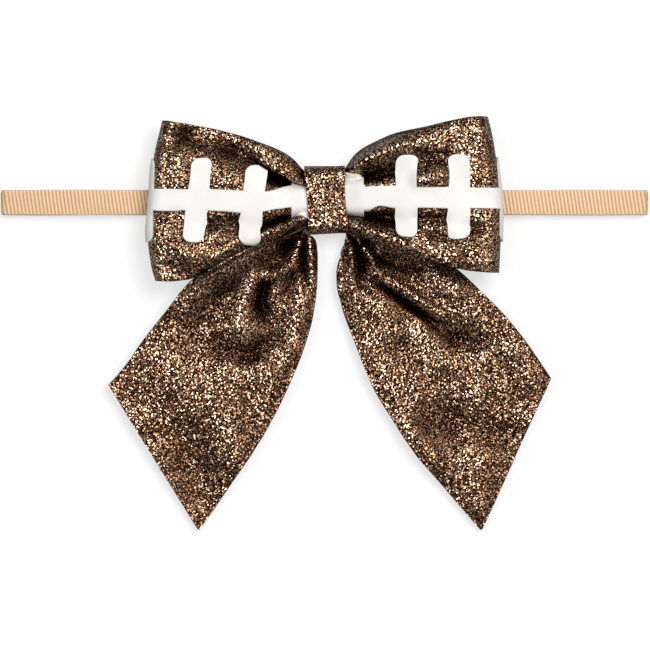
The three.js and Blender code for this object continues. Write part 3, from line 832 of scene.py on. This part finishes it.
TAILS = {
    "left": dict(
        outer=[(-4.3, -6.0), (-6.2, -7.6), (-10.9, -9.45), (-16.2, -11.3), (-21.7, -13.7), (-27.3, -16.8),
               (-32.8, -19.9), (-35.5, -22.4), (-39, -26.9), (-43.1, -32), (-46.9, -37.1), (-50.4, -42.0),
               (-54.7, -46.9)],
        inner=[(-4.3, -7.3), (-5.2, -8.6), (-3.6, -9.5), (-2.4, -10.1), (-1.9, -12.0), (-1.8, -15.0),
               (-1.9, -21.8),
               (-2.9, -29.5), (-5, -37.1), (-9, -47.2), (-14.1, -57.4), (-18.6, -64.8)],
        tip=(-31.9, -84.0),
        height=[(0, 5.8), (6, 5.7), (14, 5.8), (24, 5.6), (45, 5.0), (62, 4.4), (78, 3.0), (92, 1.4)],
        brim=[(0, 0), (7, 0.5), (12, 2.6), (18, 4.0), (27, 4.0), (34, 2.4), (42, 0.9), (60, 0.2)],
        hem=[(0, 0), (10, 0.5), (22, 0.9), (40, 0.6), (70, 0.3)],
        folds=[
            ([(-5.3, -8.0), (-8.8, -11.6), (-12.6, -14.3), (-18, -17)], [-1.6, -3.4, -1.6, -0.2],
             [0.7, 1.7, 2.4, 3]),
            ([(-4.6, -8.0), (-6.3, -10.4), (-7.4, -13.5), (-7.9, -17)], [1.4, 2.0, 1.4, 0.2],
             [0.5, 0.8, 1.0, 1.2]),
            ([(-4.9, -9.0), (-5.3, -12.4), (-5.2, -17), (-4.9, -23)], [-1.5, -3.2, -2.4, -0.4],
             [0.5, 0.9, 1.2, 1.5]),
            ([(-3.8, -9.4), (-3.4, -14), (-3.3, -21.5)], [1.4, 1.6, 0.3], [0.6, 0.9, 1.2]),
            ([(-8.6, -17.0), (-12.6, -19.0), (-17.6, -19.6), (-19.6, -24.0), (-21.2, -31.0)],
             [1.0, 1.8, 1.6, 1.3, 1.4], [1.3, 1.6, 2.0, 2.4, 4.0]),
            ([(-15.0, -21.5), (-16.0, -26.0), (-14.2, -30.0)], [-2.4, -2.8, -1.2], [1.5, 2.0, 2.2]),
            ([(-7.6, -19.0), (-9.0, -23.0), (-11.5, -27.5)], [-1.6, -1.4, -0.3], [1.4, 1.8, 2.0]),
            ([(-31.0, -31.8), (-25.9, -38.2), (-18.5, -39.4), (-12.2, -34.8), (-10.8, -29.5)],
             [-0.2, -1.0, -1.5, -1.3, -0.4], [3.4, 2.6, 2.5, 2.4, 2.4]),
            ([(-25.0, -45.0), (-14.5, -44.0)], [0.7, 1.0], [3.5, 3.2]),
            ([(-42.0, -38.0), (-36.0, -47.0), (-27.0, -53.0)], [0.6, 1.0, 0.6], [4.5, 6, 5]),
            ([(-40.0, -58.0), (-34.0, -64.0), (-31.5, -73.0)], [-0.8, -1.7, -1.3], [5, 6.0, 6]),
            ([(-30.0, -70.0), (-31.5, -80.0)], [-0.9, -0.5], [4.5, 3.5]),
            ([(-24.0, -60.0), (-22.0, -66.0)], [0.7, 0.5], [4, 3.5]),
        ],
    ),
    "right": dict(
        outer=[(4.3, -5.6), (6.2, -6.6), (11.5, -8.2), (20, -10.6), (27.5, -13.3), (31.1, -15.7),
               (35.4, -19.3),
               (40.8, -24.4), (45.8, -29.5), (51.7, -37.1), (54.8, -41.6), (57.3, -45.2)],
        inner=[(4.3, -6.9), (5.6, -8.0), (5.5, -9.3), (4.9, -11.4), (3.9, -14.8), (3.2, -18.4),
               (3.3, -21.5), (4.3, -26.9),
               (7, -34.5), (12.1, -47.2), (18.2, -57.4), (23.4, -65.0)],
        tip=(39.8, -84.0),
        height=[(0, 5.8), (5, 4.8), (9, 4.2), (20, 4.2), (32, 4.8), (50, 4.8), (62, 4.2), (78, 2.8),
                (92, 1.4)],
        brim=[(0, 0), (30, 0.0), (45, 0.5), (70, 0.2)],
        hem=[(0, 0), (10, 0.5), (22, 0.9), (40, 0.6), (70, 0.3)],
        folds=[
            ([(5.9, -6.4), (9.5, -8.6), (12.3, -10.6)], [1.0, 0.8, 0.2], [0.5, 0.6, 0.8]),
            ([(5.9, -7.2), (8.5, -10.0), (12.3, -12.4)], [-1.6, -2.4, -1.2], [0.5, 1.0, 1.5]),
            ([(5.6, -7.6), (8.2, -9.4), (9.8, -12.2), (11.6, -14.6), (13.0, -18.2)],
             [1.2, 2.2, 2.6, 2.2, 0.6],
             [0.5, 0.6, 0.8, 0.9, 1.3]),
            ([(5.4, -8.8), (8.0, -12.0), (9.4, -16.4), (9.6, -21.0)], [-1.8, -3.3, -3.0, -0.8],
             [0.7, 1.2, 1.8, 2.2]),
            ([(5.3, -8.6), (6.6, -10.8), (7.1, -15.2), (7.3, -20.5)], [1.3, 2.2, 2.0, 0.8],
             [0.5, 0.6, 0.8, 1.2]),
            ([(4.8, -11.5), (4.8, -17.5)], [-1.2, -0.6], [0.7, 0.9]),
            ([(4.6, -12), (4.0, -23)], [0.9, 0.8], [0.8, 1.1]),
            ([(15.5, -14.8), (23.5, -17.2)], [-1.6, -1.4], [2.2, 2.8]),
            ([(26.0, -18.5), (33.0, -22.5), (38.0, -29.0)], [0.9, 1.5, 0.9], [2.4, 3.2, 3.6]),
            ([(12.5, -20.2), (19.0, -24.8), (25.5, -29.4), (31.5, -34.0)], [-0.8, -2.2, -2.4, -0.8],
             [1.0, 1.2, 1.3, 2.4]),
            ([(15.5, -20.0), (22.5, -24.6), (29.0, -29.4)], [0.8, 1.2, 0.8], [1.5, 1.6, 1.8]),
            ([(9.0, -24.0), (14.0, -27.0), (17.0, -33.0)], [0.9, 1.1, 0.6], [2.4, 3.2, 3.4]),
            ([(33.5, -35.5), (38.5, -36.5)], [-1.3, -1.2], [3.0, 3.0]),
            ([(18.0, -37.0), (24.0, -43.0), (31.0, -50.0)], [-0.4, -0.6, -0.6], [3.6, 5.0, 6.6]),
            ([(23.0, -54.0), (33.0, -57.0), (44.0, -58.5)], [-0.8, -1.5, -1.0], [5.0, 5.5, 4.6]),
            ([(28.0, -41.5), (33.0, -43.0)], [0.7, 0.7], [2.4, 2.6]),
            ([(50.0, -38.0), (52.0, -46.0)], [1.3, 0.9], [4.0, 4.0]),
            ([(40.5, -66.0), (39.0, -77.0)], [0.9, 0.8], [4.5, 3.5]),
            ([(20.0, -56.0), (27.0, -66.0)], [0.7, 0.7], [3.2, 3.2]),
        ],
    ),
}


def along_edge(points, count):
    """Points evenly spaced along a smooth line through the given ones."""
    points = np.array(points, float)
    at = np.r_[0, np.cumsum(np.linalg.norm(np.diff(points, axis=0), axis=1))]
    steps = np.linspace(0, at[-1], count)
    return np.stack([curve(np.stack([at, points[:, i]], 1), steps) for i in range(2)], 1)


def tail_grid(tail, rows=260, end_rows=110, columns=150):
    """Middle points: rows from the outer to the inner edge, first down to the outer corner, then with
    the outer end following the slanted cut. Height = a slow fall from the knot + a brim, with a raised
    lip, that dies away from the outer edge + a hem that curls the inner edge down + the creases + the
    sheet's slow waves."""
    outer = along_edge(tail["outer"], rows)
    inner = along_edge(tail["inner"], rows)
    share = np.linspace(0, 0.985, end_rows)[1:, None]
    tip = np.array(tail["tip"])
    outer = np.vstack([outer, outer[-1] + share * (tip - outer[-1])])
    inner = np.vstack([inner, inner[-1] + share * (tip - inner[-1])])
    across = np.linspace(0, 1, columns)[None, :, None]
    plan = outer[:, None] * (1 - across) + inner[:, None] * across
    x, y = plan[..., 0], plan[..., 1]
    reach = np.hypot(np.abs(x) - 4.3, y + 6.6)
    width = np.linalg.norm(outer - inner, axis=1)[:, None]
    from_outer = across[..., 0] * width
    from_inner = width - from_outer
    z = curve(tail["height"], reach)
    brim = curve(tail["brim"], reach)
    z = z + brim * (soft_step(from_outer, 9.5, 1.2) + 0.30 * np.exp(-(from_outer / 0.9) ** 2))
    z = z - curve(tail["hem"], reach) * np.exp(-(from_inner / 2.2) ** 2)
    for route, lifts, widths in tail["folds"]:
        z = z + crease(x, y, route, lifts, widths)
    calm = soft_step(reach, 12, 30)
    waves = (0.22 * np.sin(x / 3.9 + y / 6.1) * np.sin(y / 4.3 - x / 7.7)
             + 0.12 * np.sin(x / 2.1 - y / 2.7) * np.sin(y / 3.3 + x / 2.9))
    z = z + waves * calm * (0.4 + 0.6 * soft_step(y, -80, -55))
    return np.stack([x, y, np.maximum(z, 0.55)], -1) * MM


for side, tail in TAILS.items():
    sign = 1 if side == "right" else -1
    item = sheet_piece(f"{side}_tail_sheet", tail_grid(tail), SHEET, SHEET_FINISHES, flip=sign > 0,
                       anchor=-1)
    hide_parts(f"{side}_tail")
    sign * 5.25 * MM
    sign * 9.0 * MM
    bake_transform(item)

# ---- Knot ---------------------------------------------------------------------------------------
# A strip of the same glitter sheet is wound round the pinched middles and the headband, and its end
# is glued down over its start behind the headband. Thread holds the pinch inside it.

WRAP_LOW, WRAP_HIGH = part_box("centre_wrap")
WRAP_WIDTH = WRAP_HIGH[0] - WRAP_LOW[0]
WRAP_LAP = 9 * MM
WRAP_CORNER = 2.4 * MM
GLUE = 0.3 * MM


def wrap_route():
    """Side view, in y and z, of the strip's middle: from its start behind the headband, round the top,
    down the front, round the bottom and back over its start."""
    half = (WRAP_HIGH[1] - WRAP_LOW[1]) / 2 - SHEET / 2
    front = WRAP_HIGH[2] - SHEET / 2
    inside = WRAP_LOW[2] + SHEET * 1.5 + GLUE
    outside = WRAP_LOW[2] + SHEET / 2
    bend, low_bend = WRAP_CORNER, 1.6 * MM
    return np.vstack([
        [(-WRAP_LAP / 2, inside)],
        arc((half - low_bend, inside + low_bend), low_bend, 0.75, 1.0),
        arc((half - bend, front - bend), bend, 0.0, 0.25),
        arc((bend - half, front - bend), bend, 0.25, 0.5),
        arc((low_bend - half, outside + low_bend), low_bend, 0.5, 0.75),
        [(WRAP_LAP / 2, outside)],
    ])


def wrap_grid():
    """The route swept across the strip's width; the front bulges slightly, its edges lean in where the
    strip goes over the top and bottom, and the whole strip leans a little to the right at its foot."""
    route, along = even_steps(wrap_route(), 420)
    across = np.linspace(-1, 1, 60)[None, :]
    y, z = route[:, :1], route[:, 1:]
    front = soft_step(z, 4 * MM, 10 * MM)
    waist = 1 - 0.07 * front * np.cos(y / (8 * MM) * np.pi / 2) ** 2 - 0.02
    lean = 1.15 * MM * front * np.clip(0.5 - y / (17 * MM), 0, 1) ** 1.3
    x = across * WRAP_WIDTH / 2 * waist + lean * (1 - 0.15 * across)
    rise = 0.25 * MM * front * (1 - across ** 2) - 0.25 * MM * front
    ripple = 0.05 * MM * front * np.sin(y / (1.9 * MM) + 3 * across) * np.sin(2.7 * across + y / (3.1 * MM))
    return np.stack([x, y + (0.06 * x - 0.35 * MM) * front, z + rise + ripple], -1)


item = sheet_piece("centre_wrap_sheet", wrap_grid(), SHEET, SHEET_FINISHES, anchor=30)
wrap_length = float(even_steps(wrap_route(), 420)[1][-1])
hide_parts("centre_wrap")
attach(item, "knot")

dress("gather_thread", thread_finish("brown_thread", srgb(96, 68, 50)))
PINCHED = glitter_finish("pinched_glitter", "object")
dress("loop_pinch", PINCHED)
dress("tail_pinch", PINCHED)


def glue_finish():
    """Set hot glue: cloudy, yellowish and smooth."""
    finish = Finish("hot_glue", Roughness=0.35)
    place = finish.add("TexCoord", out="Object")
    cloud = finish.add("TexNoise", sockets={"Vector": place, "Scale": 400.0})
    finish.set(Base_Color=finish.mix(cloud, srgb(214, 196, 150), srgb(236, 226, 196)))
    return finish


dress("wrap_glue", glue_finish())
